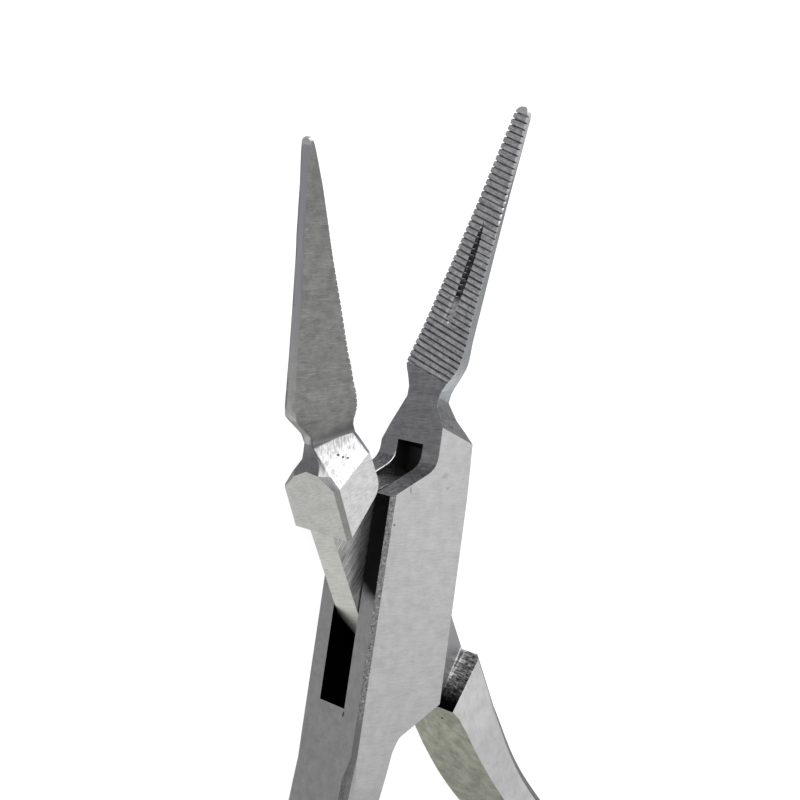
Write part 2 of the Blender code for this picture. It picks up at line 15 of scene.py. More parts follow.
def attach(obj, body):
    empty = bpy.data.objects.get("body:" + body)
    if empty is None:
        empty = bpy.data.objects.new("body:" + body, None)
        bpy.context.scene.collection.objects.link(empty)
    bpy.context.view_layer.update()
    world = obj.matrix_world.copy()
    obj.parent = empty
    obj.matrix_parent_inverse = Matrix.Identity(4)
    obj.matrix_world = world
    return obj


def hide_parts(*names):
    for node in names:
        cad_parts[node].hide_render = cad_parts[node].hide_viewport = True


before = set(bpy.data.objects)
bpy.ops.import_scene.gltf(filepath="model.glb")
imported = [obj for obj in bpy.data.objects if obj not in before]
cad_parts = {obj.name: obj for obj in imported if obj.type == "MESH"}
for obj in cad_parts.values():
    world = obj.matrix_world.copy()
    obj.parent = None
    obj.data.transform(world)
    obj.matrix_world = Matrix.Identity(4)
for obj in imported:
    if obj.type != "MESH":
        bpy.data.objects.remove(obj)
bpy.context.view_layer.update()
MM = 0.001
print("pieces in the frame:", ", ".join(sorted(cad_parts)))

# %% [markdown]
# Colours are written as sRGB hex values, as a maker reads them off a sample card, but the
# renderer works in linear light, so one function turns them over.

# %% Colour helper


def linear(code):
    """Linear RGBA of an sRGB hex colour."""
    parts = [int(code[i:i + 2], 16) / 255 for i in (1, 3, 5)]
    return (*[c / 12.92 if c <= 0.04045 else ((c + 0.055) / 1.055) ** 2.4 for c in parts], 1.0)


print("mid grey in linear light:", round(linear("#808080")[0], 3))

# %% [markdown]
# A material here is a small tree of nodes. One helper adds a node: a setting is given by its
# name, and a socket is given either a number or the output that leads into it.

# %% Node helper


def add(tree, kind, sockets=(), **settings):
    """Adds one node to a tree, sets its settings and fills or links its sockets."""
    made = tree.nodes.new("ShaderNode" + kind)
    for name, value in settings.items():
        setattr(made, name, value)
    for name, value in dict(sockets).items():
        if isinstance(value, bpy.types.NodeSocket):
            tree.links.new(value, made.inputs[name])
        else:
            made.inputs[name].default_value = value
    return made


# %% [markdown]
# The camera looks down on the forceps from the side of its left handle, about 45 degrees above
# the floor, from 14 centimetres away. Its place was worked out from the corners of the box and
# the jaws in the photograph, so its three directions are written as measured.

# %% Camera
EYE_MM = (-94.93, 24.93, 98.20)
RIGHT = Vector((0.711546, 0.137899, 0.688975))
UP = Vector((-0.058679, 0.988789, -0.137306))
LENS_MM = 68.26
SENSOR_MM = 36.0
NEAREST_MM = 5.0

camera_data = bpy.data.cameras.new("camera")
camera_data.lens = LENS_MM
camera_data.sensor_width = SENSOR_MM
camera_data.clip_start = NEAREST_MM * MM
camera = bpy.data.objects.new("camera", camera_data)
bpy.context.scene.collection.objects.link(camera)
turn = Matrix((RIGHT, UP, RIGHT.cross(UP))).transposed().to_4x4()
camera.matrix_world = Matrix.Translation(Vector(EYE_MM) * MM) @ turn
bpy.context.scene.camera = camera
print("camera is", round(Vector(EYE_MM).length), "mm from the pin")

# %% [markdown]
# Polished steel shows what stands round it, so the light is built as a studio light tent: a pale
# ground tone, and a few broad soft glows that fade out evenly. A glow is the cosine between the
# direction that is looked along and the middle of the lamp, raised to a power that narrows it.

# %% Light tent
TENT_TONE = 0.33
GLOWS = (
    # middle of the glow, how narrow it is, how bright
    ((0.12, 0.80, 0.58), 3.0, 1.16),
    ((-0.10, 0.52, 0.85), 3.0, 0.73),
    ((0.76, -0.05, 0.65), 8.0, 0.43),
    ((-0.80, 0.54, 0.25), 20.0, 1.28),
    ((-0.18, -0.71, -0.68), 20.0, 0.42),
    ((0.81, -0.50, -0.32), 20.0, 1.29),
    ((0.63, 0.42, -0.65), 20.0, 0.68),
)

world = bpy.data.worlds.new("light_tent")
bpy.context.scene.world = world
world.use_nodes = True
tent = world.node_tree
tent.nodes.clear()
look = add(tent, "TexCoord").outputs["Generated"]
level = None
for middle, narrow, bright in GLOWS:
    cosine = add(tent, "VectorMath", {0: look, 1: Vector(middle).normalized()},
                 operation="DOT_PRODUCT").outputs["Value"]
    front = add(tent, "Math", {0: cosine, 1: 0.0}, operation="MAXIMUM").outputs[0]
    lobe = add(tent, "Math", {0: front, 1: narrow}, operation="POWER").outputs[0]
    before = TENT_TONE if level is None else level
    level = add(tent, "Math", {0: lobe, 1: bright, 2: before}, operation="MULTIPLY_ADD").outputs[0]
seen = add(tent, "LightPath").outputs["Is Camera Ray"]
tone = add(tent, "Mix", {0: seen, 2: level, 3: 1.0}).outputs[0]
sky = add(tent, "Background", {"Color": linear("#FFFFFF"), "Strength": tone})
add(tent, "OutputWorld", {"Surface": sky.outputs[0]})
scene = bpy.context.scene
scene.view_settings.view_transform = "Standard"
scene.view_settings.look = "None"
print("light tent with", len(GLOWS), "glows")

# %% [markdown]
# The floor is a plain pale sheet. It glows by itself, as a lit photographic table does, so that it
# stays white round the steel. A white floor under lamps would do too, but its tone would change
# with every glow. The steel doesn't mirror it, so that the tent alone makes the reflections.

# %% Floor
FLOOR_RADIUS = 1.6
FLOOR_DROP = 0.00002            # just below the back cheek, so that the two don't share a plane
FLOOR_SIDES = 64
TABLE_ROUGHNESS = 0.9
TABLE_GLOW = 0.93

sheet_mesh = bpy.data.meshes.new("floor")
bm = bmesh.new()
bmesh.ops.create_circle(bm, cap_ends=True, segments=FLOOR_SIDES, radius=FLOOR_RADIUS)
bmesh.ops.translate(bm, verts=bm.verts, vec=(0, 0, -FLOOR_DROP))
bm.to_mesh(sheet_mesh)
bm.free()
floor = bpy.data.objects.new("floor", sheet_mesh)
bpy.context.scene.collection.objects.link(floor)
floor.visible_glossy = False
floor.visible_shadow = False
table = bpy.data.materials.new("lit_white_table")
table.use_nodes = True
paint = table.node_tree.nodes["Principled BSDF"]
paint.inputs["Base Color"].default_value = linear("#8A8A8A")
paint.inputs["Roughness"].default_value = TABLE_ROUGHNESS
paint.inputs["Emission Color"].default_value = linear("#FFFFFF")
paint.inputs["Emission Strength"].default_value = TABLE_GLOW
floor.data.materials.append(table)
print("floor is", 2 * FLOOR_RADIUS, "m across")

# %% [markdown]
# The halves are forged from martensitic stainless steel, hardened, and then ground and brushed by
# hand, face by face. Each face shows the direction of the belt that cut it. The finish is one
# material recipe. A noise that is stretched along the belt makes the lines, a second one the
# cloudy patches of uneven grinding, and sparse ones the longer scratches and the bright specks
# that use leaves. Together they tint the steel, change its roughness and raise it a few
# micrometres. The real grit leaves lines of 0.02 to 0.05 mm. They are too fine for the picture, so
# they are drawn 0.07 mm and wider. A shade darkens the steel along a direction, in some finishes
# as painted shade, and a mark is a soft-edged patch, such as a pit, a smear or a painted
# highlight.

# %% Brushed steel recipe
RAMP = (0.38, 0.62)             # noise from here to here runs from the dark to the light tint
CUTS = (0.60, 0.70)             # noise above this shows as a long scratch
CUT_DEG = 9                     # a scratch runs this far off the belt
CUT_LONG, CUT_WIDE = 2.2, 1.3   # its size against a belt line
GRAIN_MM = 0.16                 # bright specks of use
GRAINS = (0.58, 0.72)
SHADE_RAGGED = 0.5              # how far the clouds move the edge of a shade
MARK_RAGGED = 0.8               # and of a mark
MARK_FADE = (1.5, 1.1)          # where a mark begins and where it is full
SHEEN_NOISE = (0.3, 0.7)        # over this much of the noise
SHEEN = 0.05                    # the roughness rises and falls by this
GRIND_MM = 0.02                 # depth of the belt lines


def brushed(name, dark, light, rough, belt=(1, 0, 0), line_mm=0.1, along_mm=3.0, relief=0.35,
            cloud_mm=1.2, cloudy=0.4, scratch=0.0, speck=0.0, shades=(), marks=()):
    """Stainless steel with belt lines along the direction belt.

    A shade is (direction, start in mm, end in mm, colour at the end), and a mark is
    (middle in mm, half sizes in mm, direction of its length, colour).
    """
    mat = bpy.data.materials.new(name)
    mat.use_nodes = True
    tree = mat.node_tree
    steel = tree.nodes["Principled BSDF"]
    steel.inputs["Metallic"].default_value = 1.0
    place = add(tree, "TexCoord").outputs["Object"]
    turn = Vector(belt).rotation_difference(Vector((1, 0, 0))).to_euler()
    turned = add(tree, "Mapping", {"Vector": place, "Rotation": turn}).outputs[0]
    fine = add(tree, "Mapping", {
        "Vector": turned, "Scale": (1 / (along_mm * MM), 1 / (line_mm * MM), 1 / (line_mm * MM))})
    lines = add(tree, "TexNoise", {"Vector": fine.outputs[0], "Scale": 1.0, "Detail": 3.0,
                                   "Roughness": 0.6}).outputs["Fac"]
    cloud = add(tree, "TexNoise", {"Vector": place, "Scale": 1 / (cloud_mm * MM), "Detail": 6.0,
                                   "Roughness": 0.65}).outputs["Fac"]
    both = add(tree, "Mix", {0: cloudy, 2: lines, 3: cloud}).outputs[0]
    tint = add(tree, "ValToRGB", {"Fac": both})
    for stop, at, tone in zip(tint.color_ramp.elements, RAMP, (dark, light)):
        stop.position, stop.color = at, linear(tone)
    colour = tint.outputs[0]
    if scratch:
        wide = 1 / (CUT_WIDE * line_mm * MM)
        long_cut = add(tree, "Mapping", {
            "Vector": turned, "Rotation": (0.0, 0.0, math.radians(CUT_DEG)),
            "Scale": (1 / (CUT_LONG * along_mm * MM), wide, wide)})
        cuts = add(tree, "TexNoise", {"Vector": long_cut.outputs[0], "Scale": 1.0, "Detail": 1.0}
                   ).outputs["Fac"]
        bright = add(tree, "MapRange", {"Value": cuts, "From Min": CUTS[0], "From Max": CUTS[1],
                                        "To Min": 0.0, "To Max": scratch}).outputs[0]
        colour = add(tree, "MixRGB", {"Fac": bright, "Color1": colour,
                                      "Color2": linear("#FAFAFA")}).outputs[0]
    if speck:
        grains = add(tree, "TexNoise", {"Vector": place, "Scale": 1 / (GRAIN_MM * MM),
                                        "Detail": 2.0}).outputs["Fac"]
        bright = add(tree, "MapRange", {"Value": grains, "From Min": GRAINS[0],
                                        "From Max": GRAINS[1], "To Min": 0.0, "To Max": speck}
                     ).outputs[0]
        colour = add(tree, "MixRGB", {"Fac": bright, "Color1": colour,
                                      "Color2": linear("#FFFFFF")}).outputs[0]
    for direction, start, end, deep in shades:
        along = add(tree, "VectorMath", {0: place, 1: direction}, operation="DOT_PRODUCT")
        ragged = add(tree, "Math", {0: cloud, 1: SHADE_RAGGED * abs(end - start) * MM,
                                    2: along.outputs["Value"]},
                     operation="MULTIPLY_ADD").outputs[0]
        amount = add(tree, "MapRange", {"Value": ragged, "From Min": start * MM,
                                        "From Max": end * MM},
                     interpolation_type="SMOOTHSTEP").outputs[0]
        colour = add(tree, "MixRGB", {"Fac": amount, "Color1": colour, "Color2": linear(deep)}
                     ).outputs[0]
    for middle, half, length, deep in marks:
        lie = Vector((1, 0, 0)).rotation_difference(Vector(length)).to_euler()
        patch = add(tree, "Mapping", {"Vector": place, "Location": Vector(middle) * MM,
                                      "Rotation": lie, "Scale": Vector(half) * MM},
                    vector_type="TEXTURE").outputs[0]
        far = add(tree, "VectorMath", {0: patch}, operation="LENGTH").outputs["Value"]
        ragged = add(tree, "Math", {0: cloud, 1: MARK_RAGGED, 2: far},
                     operation="MULTIPLY_ADD").outputs[0]
        amount = add(tree, "MapRange", {"Value": ragged, "From Min": MARK_FADE[0],
                                        "From Max": MARK_FADE[1]}).outputs[0]
        colour = add(tree, "MixRGB", {"Fac": amount, "Color1": colour, "Color2": linear(deep)}
                     ).outputs[0]
    tree.links.new(colour, steel.inputs["Base Color"])
    sheen = add(tree, "MapRange", {"Value": both, "From Min": SHEEN_NOISE[0],
                                   "From Max": SHEEN_NOISE[1], "To Min": rough + SHEEN,
                                   "To Max": rough - SHEEN})
    tree.links.new(sheen.outputs[0], steel.inputs["Roughness"])
    bump = add(tree, "Bump", {"Height": both, "Strength": relief, "Distance": GRIND_MM * MM})
    tree.links.new(bump.outputs[0], steel.inputs["Normal"])
    return mat


print("one recipe for all belt finishes")

# %% [markdown]
# The serrated faces have one more thing: painted shade darkens each serration and fades out over
# the land above it. The serrations are real notches in the mesh. The shade could be painted by
# hand, but a band that repeats with their pitch follows all 44 of them. The jaw is tilted and
# bent, so height is read along the direction RISE.

# %% Serrated face recipe
OPEN = 32.0                     # degrees between the halves as the model lies
OPENED = Matrix.Rotation(math.radians(OPEN), 3, "Z")
PITCH_MM = 0.5305
FIRST_MM = 42.75                # the uppermost serration
RISE = Vector((0.0, 0.9209, 0.2815))
ALONG = Vector((0.0, -0.2815, 0.9209))
RISE_START_MM = 0.1925          # heights along RISE fall short by this, because of the bend
# The band of painted shade: its tint in each serration, and its tints over the land.
SERRATION_SHADE = "#606064"
BAND = ((0.10, "#B4B4B8"), (0.24, "#FFFFFF"), (0.76, "#FAFAFA"), (0.91, "#B4B4B8"))
SHADE_FADE_MM = (24, 38)              # heights between which the painted shade gets less
SHADE_DEPTH = (0.6, 0.5)


def serrated(name, turn, dark, light, marks=()):
    """Filed steel with painted shade in each serration, for the half turned by the matrix turn."""
    mat = brushed(name, dark, light, 0.38, turn @ ALONG, 0.08, 1.2, relief=0.6, cloud_mm=0.5,
                  cloudy=0.5, scratch=0.45, speck=0.25, marks=marks)
    tree = mat.node_tree
    steel = tree.nodes["Principled BSDF"]
    before = steel.inputs["Base Color"].links[0].from_socket
    place = add(tree, "TexCoord").outputs["Object"]
    height = add(tree, "VectorMath", {0: place, 1: turn @ RISE}, operation="DOT_PRODUCT")
    count = add(tree, "Math", {0: height.outputs["Value"], 1: -1 / (PITCH_MM * MM),
                               2: (FIRST_MM - RISE_START_MM) / PITCH_MM},
                operation="MULTIPLY_ADD").outputs[0]
    phase = add(tree, "Math", {0: count}, operation="FRACT").outputs[0]
    band = add(tree, "ValToRGB", {"Fac": phase})
    for stop in band.color_ramp.elements:
        stop.color = linear(SERRATION_SHADE)
    for at, tone in BAND:
        band.color_ramp.elements.new(at).color = linear(tone)
    shade_amount = add(tree, "MapRange", {"Value": height.outputs["Value"], "From Min": SHADE_FADE_MM[0] * MM,
                                  "From Max": SHADE_FADE_MM[1] * MM, "To Min": SHADE_DEPTH[0],
                                  "To Max": SHADE_DEPTH[1]}).outputs[0]
    made = add(tree, "MixRGB", {"Fac": shade_amount, "Color1": before, "Color2": band.outputs[0]},
               blend_type="MULTIPLY")
    tree.links.new(made.outputs[0], steel.inputs["Base Color"])
    return mat


print("serrations every", PITCH_MM, "mm")

# %% [markdown]
# Each zone of the forceps has its own finish, because each was ground in its own direction. One
# steel with a painted mask would do too, but a material for each zone keeps every belt and tone
# in plain sight. Directions and places on the tongue half are those of the opened forceps,
# because that is how its mesh lies. The outside of the box comes first.

# %% Finishes of the box
FINISHES = {}
# Ground straight across: an even light grey, with two smears and two dents of use.
FINISHES["cheek"] = brushed(
    "ground_cheek_steel", "#BFBFBF", "#D3D3D3", 0.34, (1, 0.02, 0), 0.08, 1.0, cloudy=0.5,
    cloud_mm=1.1, speck=0.08, marks=(
        ((1.20, 11.30, 7.4), (0.50, 0.26, 0.4), (1, 0.4, 0), "#BABABA"),
        ((1.70, 10.20, 7.4), (0.24, 0.16, 0.4), (1, 0.4, 0), "#B6B6B6"),
        ((-4.20, 6.94, 7.4), (0.18, 0.13, 0.3), (1, 0, 0), "#8A8A8A"),
        ((-2.79, 9.99, 7.4), (0.35, 0.05, 0.3), (-0.3, 1, 0), "#7A7A7A")))
# Milled lengthways: cloudy, with painted shade at the upper end beside the tongue's shoulder, and
# with one pit.
FINISHES["side"] = brushed(
    "milled_side_steel", "#BFBFC0", "#D4D4D6", 0.37, (0, 1, 0), 0.16, 0.4, cloud_mm=0.8,
    cloudy=0.7, speck=0.10, shades=(((-0.06, 1.0, 0.5), 3.6, 5.2, "#242424"),),
    marks=(((-5.07, -10.10, 5.28), (0.28, 0.11, 0.11), (0.0, 1.0, 0.1), "#606060"),))
# Ground by hand: grey, and full of small bright specks.
FINISHES["chamfer"] = brushed(
    "ground_chamfer_steel", "#6E6E70", "#BCBCBE", 0.34, (0, 1, 0), 0.12, 0.25, cloud_mm=0.25,
    cloudy=0.5, speck=0.8, shades=(((0.0, 1.0, 0.0), -8.5, -10.5, "#8E8E90"),))
# Rounded on the belt: a soft, even grey line along the handles, darkened by painted shade.
FINISHES["handle_edge"] = brushed(
    "rounded_handle_edge_steel", "#808082", "#9A9A9C", 0.38, (0, 1, 0), 0.12, 0.8,
    cloud_mm=0.6, cloudy=0.6, speck=0.2)
print("finishes of the box:", ", ".join(FINISHES))

# %% [markdown]
# The jaws were ground across on a worn belt, which leaves a satin grey with fine cross scratches.
# Their narrow strips are smoother, the tips were polished last, and the front edge of the right
# serrations gets a painted highlight. They could share one steel, but the grey, the length of the
# lines and the number of scratches differ on the real ones, and so they do here.

# %% Finishes of the jaws
FACET_DOWN = (-0.598, 0.806, 0.0)

# Ground across: satin, with scratches that cross each other.
FINISHES["flank"] = brushed(
    "satin_jaw_steel", "#B2B2B1", "#D8D8D7", 0.33, (0.87, 0.20, 0.45), 0.10, 0.5,
    cloud_mm=0.8, cloudy=0.75, scratch=0.4, speck=0.2)
# Ground across as well: satin, with painted shade at its foot where the neck begins.
FINISHES["saddle"] = brushed(
    "satin_saddle_steel", "#B2B2B0", "#D6D6D4", 0.36, (0.89, 0.11, 0.45), 0.10, 0.6,
    cloud_mm=0.7, cloudy=0.7, speck=0.15, shades=((FACET_DOWN, 19.2, 18.0, "#868688"),))
# Turned away from the light: an even, darker satin.
FINISHES["shoulder_right"] = brushed(
    "satin_right_shoulder_steel", "#929296", "#A8A8AC", 0.36, (1, 0, 0.3), 0.10, 0.8,
    cloud_mm=0.8, cloudy=0.6)
# Polished strip on the outside: light, a little colder towards the tip.
FINISHES["strip"] = brushed(
    "polished_strip_steel", "#C4C4C3", "#DADAD9", 0.32, (0.89, 0.11, 0.45), 0.10, 0.6,
    cloud_mm=0.8, cloudy=0.6, speck=0.2,
    shades=(((-0.53, 0.848, 0.0), 26.0, 33.0, "#C6C6CE"),))
# Polished strip on the front of the right jaw: grey, and darker towards the tip.
FINISHES["strip_right"] = brushed(
    "polished_front_strip_steel", "#989DA0", "#BBC0C3", 0.32, (0, 1, 0.3), 0.12, 1.0,
    cloud_mm=0.8, cloudy=0.6, speck=0.2,
    shades=(((0.0, 1.0, 0.0), 33.0, 38.0, "#7C8084"),))
# Polished: almost white, with hardly a line.
FINISHES["tip"] = brushed(
    "polished_tip_steel", "#E8E8E6", "#FFFFFF", 0.28, (1, 0, 0.3), 0.12, 0.4,
    cloud_mm=0.3, cloudy=0.7)
# Ground flat: matter than the tip, and as bright through a painted highlight.
FINISHES["tip_end"] = brushed(
    "ground_tip_end_steel", "#DEDEE0", "#FAFAFC", 0.34, (1, 0, 0.3), 0.12, 0.4,
    cloud_mm=0.3, cloudy=0.7)
# Painted highlight along the front edge of the right serrations: bright and ragged.
FINISHES["painted_highlight_edge"] = brushed(
    "ground_front_edge_steel", "#D8D8DC", "#FFFFFF", 0.28, (0, 1, 0.3), 0.10, 0.3,
    cloud_mm=0.3, cloudy=0.6, speck=0.9)
print("with those of the jaws:", len(FINISHES))

# %% [markdown]
# Where no belt reaches, the steel is as the file or the furnace left it. The filed parts are a
# rough grey. The slots, the blade's end and the groove get painted shade: a rougher surface and a
# dark tint. Shadow alone would not make them as dark, because bright faces are close by.

# %% Finishes out of the belt's reach
# Painted shade in the groove: nearly black, and a painted highlight makes its lower end lighter.
FINISHES["groove"] = brushed(
    "oiled_groove_steel", "#1A1A1C", "#56565A", 0.45, (0, 1, 0.3), 0.1, 1.0, cloud_mm=0.3,
    cloudy=0.6, speck=0.3, shades=(((0.0, 1.0, 0.0), 27.2, 26.4, "#B4B4B6"),))
# Filed hollow: long, deep lines that run from front to back.
FINISHES["scoop"] = brushed(
    "filed_scoop_steel", "#929295", "#BABABE", 0.42, (0, 0.14, 0.99), 0.10, 1.2, relief=0.8,
    cloud_mm=0.9, cloudy=0.45, scratch=0.15)
# Filed rim of the slot: short lines on a darker grey.
FINISHES["rim"] = brushed(
    "filed_rim_steel", "#68686B", "#A0A0A3", 0.42, (0.84, 0.55, 0), 0.12, 0.5, relief=0.6,
    cloud_mm=0.4, cloudy=0.7, speck=0.3)
# Painted shade in the slots: almost black, blackest deep in the slot, with crumbs that glint.
FINISHES["pocket"] = brushed(
    "scale_dark_slot_steel", "#262626", "#787878", 0.50, (0.84, 0.55, 0), 0.14, 0.5,
    relief=0.6, cloud_mm=0.5, cloudy=0.7, speck=0.5,
    shades=(((0.0, 1.0, 0.0), 10.2, 8.0, "#080808"),
            ((1.0, 0.35, 0.0), 3.7, 4.5, "#484848")))
# The same painted shade on the end of the blade: dark and mottled.
FINISHES["blade_end"] = brushed(
    "scale_dark_blade_end_steel", "#303030", "#808080", 0.45, (0, 0, 1), 0.14, 0.4,
    cloud_mm=0.4, cloudy=0.7, speck=0.4)
print("with the dark ones:", len(FINISHES))

# %% [markdown]
# The shoulder of the tongue half was blended by hand, so every facet of it has its own direction.
# The upper facet is polished almost white, with painted shade as a thin grey line along its lower
# and its right edge, and a few pits where the forging was not quite clean. The line could be a
# fine bevel, but a narrow painted shade keeps its grey from every side.

# %% Finishes of the shoulder
FACET_RIGHT = (0.541, 0.695, 0.477)
DOWN_BLADE = (-0.53, 0.848, 1.0)

# Brushed upright: light and warm, with long fine lines.
FINISHES["shoulder"] = brushed(
    "brushed_shoulder_steel", "#D2D2CD", "#EEEEE9", 0.33, (-0.17, 0.27, 0.96), 0.07, 0.8,
    relief=0.3, cloudy=0.4)
# Brushed in the same pass: lighter, and black with painted shadow where it dips into the slot.
FINISHES["blade_side"] = brushed(
    "brushed_blade_side_steel", "#DADAD4", "#F4F4EE", 0.33, (-0.17, 0.27, 0.96), 0.10, 1.6,
    relief=0.3, shades=((DOWN_BLADE, 3.5, 2.7, "#020202"),))
# Ground hollow: a calm middle grey.
FINISHES["neck"] = brushed(
    "ground_neck_steel", "#929297", "#ACACB0", 0.36, (0, 0, 1), 0.12, 1.0,
    cloud_mm=0.8, cloudy=0.6)
# The shoulder's broken edge: light, between its two neighbours.
FINISHES["bevel"] = brushed(
    "ground_shoulder_edge_steel", "#C4C4C2", "#E4E4E2", 0.36, (0.5, 0.8, 0))
# Polished by hand: white, with four pits in a row, and painted shade along its lower and right
# edge.
FINISHES["facet"] = brushed(
    "polished_facet_steel", "#ACACAC", "#FFFFFF", 0.3, (0.10, 0.94, -0.32), 0.10, 0.7,
    relief=0.3, cloud_mm=0.3, cloudy=0.3,
    shades=((FACET_DOWN, 17.42, 17.6, "#707072"), (FACET_RIGHT, 7.96, 8.04, "#6C6C70")),
    marks=(
        ((-10.52, 12.55, 6.07), (0.22, 0.10, 0.10), (1, 0, 0), "#3A3A3A"),
        ((-10.22, 12.44, 6.37), (0.14, 0.10, 0.10), (1, 0, 0), "#3A3A3A"),
        ((-10.10, 12.20, 6.50), (0.09, 0.08, 0.08), (1, 0, 0), "#3A3A3A"),
        ((-9.93, 12.42, 6.68), (0.12, 0.10, 0.10), (1, 0, 0), "#303030")))
# Brushed on its front: light, with scratches along the belt.
FINISHES["block"] = brushed(
    "brushed_shoulder_front_steel", "#CACACA", "#ECECEC", 0.36, (0.92, 0.39, 0), 0.07, 0.6,
    relief=0.4, cloudy=0.5, cloud_mm=0.6, scratch=0.35)
print("with those of the shoulder:", len(FINISHES))

# %% [markdown]
# The tongue has been rubbed by the cheeks on every stroke, the handles are satin, and the step
# below the box was only rough cut, so it has coarse lines and glints. The cutter's marks could be
# cut into the mesh, but bump is enough for lines this fine, and it is the strongest there.

# %% Finishes of the tongue and the handles
ACROSS_STEP = (0.848, 0.530, 0.0)

# Rubbed: grey, with arcs of scratches, and a painted highlight as a bright line where it meets the
# step.
FINISHES["tongue"] = brushed(
    "rubbed_tongue_steel", "#808080", "#D4D4D4", 0.40, (0.5, 0.86, 0), 0.09, 1.4, relief=0.6,
    scratch=0.6, shades=(((-0.53, 0.848, 0.0), -4.5, -6.5, "#A4A4A6"),),
    marks=(((8.14, -6.90, 5.2), (2.5, 0.13, 0.13), (0.365, 0.931, 0.0), "#FFFFFF"),))
# Satin, ground along: light and cloudy.
FINISHES["handle"] = brushed(
    "satin_handle_steel", "#D2D2D2", "#E8E8E8", 0.36, (0.47, -0.88, 0), 0.14, 2.0,
    cloud_mm=1.6, cloudy=0.7)
# Satin on the inside: cloudy, with a faint yellow cast and one pit.
FINISHES["inner"] = brushed(
    "satin_inner_handle_steel", "#AEB0A2", "#DADCC8", 0.40, (0.47, -0.88, 0), 0.16, 1.6,
    cloud_mm=1.4, cloudy=0.75,
    marks=(((8.21, -11.80, 4.69), (0.20, 0.16, 0.16), (1, 0, 0), "#080808"),))
# Rough cut: black and bright lines side by side, and painted shade towards its corner with the
# inner handle.
FINISHES["step"] = brushed(
    "rough_cut_step_steel", "#060606", "#C8C8C8", 0.30, (0.1, -0.2, 1.0), 0.16, 0.9,
    relief=1.5, cloud_mm=0.35, cloudy=0.35, scratch=1.0, speck=0.6,
    shades=((ACROSS_STEP, 3.9, 1.3, "#0C0C0C"),))
print("with those of the handles:", len(FINISHES))

# %% [markdown]
# The serrated faces were filed across: light lands stand between lines of painted shade, and the
# lower edge of the right face has a painted highlight. One material for both would turn its lines
# the wrong way on the opened half, so the recipe above is used once for each jaw, with its own
# turn.

# %% Finishes of the serrated faces
# The right face gets a painted highlight: a bright line at the lower end of its groove.
FINISHES["teeth_right"] = serrated(
    "filed_right_face_steel", Matrix.Identity(3), "#A0A0A5", "#FCFCFE",
    marks=(((0.05, 25.9, 6.05), (1.9, 0.16, 0.16), (0, 0.93, 0.36), "#FFFFFF"),))
FINISHES["teeth_left"] = serrated("filed_left_face_steel", OPENED, "#A0A0A5", "#FCFCFE")
print("steel finishes:", len(FINISHES))

# %% [markdown]
# The CAD solids have the true shape, so each piece starts as a copy of its solid. The copy is
# merged, and its flat faces are joined up again, because a bevel needs whole faces beside its
# edges. A modifier then evens out the shading of the small new faces.

# %% Shape helpers
MERGE_MM = 0.001
FLAT_DEG = 0.4                  # faces that bend less than this are one
SHADING_DEG = 22                # edges that bend more than this stay crisp


def copy_of(node):
    """Merged copy of a CAD node as a bmesh, its flat faces joined up."""
    bm = bmesh.new()
    bm.from_mesh(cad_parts[node].data)
    bmesh.ops.remove_doubles(bm, verts=bm.verts, dist=MERGE_MM * MM)
    bmesh.ops.dissolve_limit(bm, angle_limit=math.radians(FLAT_DEG), verts=bm.verts,
                             edges=bm.edges)
    return bm


def sharp_edges(bm, degrees):
    """Edges where two faces meet outwards at more than an angle."""
    return [e for e in bm.edges if e.is_manifold and e.is_convex
            and e.calc_face_angle(0.0) > math.radians(degrees)]


def piece(name, bm, zones, body, node):
    """Makes the bmesh an object that rides on a body in the place of a CAD node."""
    mesh = bpy.data.meshes.new(name)
    for face in bm.faces:
        face.smooth = True
    bm.to_mesh(mesh)
    bm.free()
    mesh.set_sharp_from_angle(angle=math.radians(SHADING_DEG))
    for zone in zones:
        mesh.materials.append(FINISHES[zone])
    made = bpy.data.objects.new(name, mesh)
    bpy.context.scene.collection.objects.link(made)
    even = made.modifiers.new("even_shading", "WEIGHTED_NORMAL")
    even.keep_sharp = True
    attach(made, body)
    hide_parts(node)
    print(name, len(mesh.polygons), "faces")
    return made


print("shape helpers ready")

# %% [markdown]
# A face gets its finish from where it lies and which way it looks, both read on the closed
# forceps. Faces could be listed by number instead, but numbers change with every edit of the
# solid. Here n is the direction of a face and c its middle in mm, side is 1 for the right jaw and
# -1 for the left, and reach is the distance from the closing plane. The heights below are where
# one finish ends and the next begins.

# %% Zones
FLAT = 0.9                      # a face looks straight up or down when its z is past this
JAW_FOOT_MM = 17.3
SADDLE_TOP_MM = 19.4
TEETH_FOOT_MM = 19.3
HIGHLIGHT_FOOT_MM = 26.0
TIP_MM = 42.9
BOAT_MIDDLE_MM = (29.0, 7.30)   # y and z of the middle of the boat shaped groove
BOAT_RISE = 0.387
BOAT_ENDS_MM = (24.6, 33.6)
BOAT_HALF_MM = 0.6
BOAT_DEEP_MM = 0.1              # a face of the groove lies deeper than this
SLOT_MM = (2.1, 5.3)            # the slot's floor and roof
SLOT_FOOT_MM = -11.5
SLOT_SKIN_MM = 0.02
SIDE_SKIN_MM = 0.3              # this close to the outside a face is no longer in the slot
BOX_HALF_MM = 4.93
BOX_DRAFT = 0.014               # the box gets narrower upwards
BOX_TOP_MM = 14.0
RELIEF_TOP_MM = 13.8
RIM_FOOT_MM = 9.0
RIM_SIDE_MM = 0.5
STEM_FOOT_MM = 11.0             # the stem that carries the right jaw
STEM_HALF_MM = 1.4
HANDLE_TOP_MM = -13.0
TONGUE_ENDS_MM = (-9.6, 12.9)
BLADE_END_MM = 9.5
BLADE_SIDE_MM = 9.6
STEP_TOP_MM = -9.0
NECK_FOOT_MM = 14.0
FACET_FEET_MM = (15.4, 13.9)


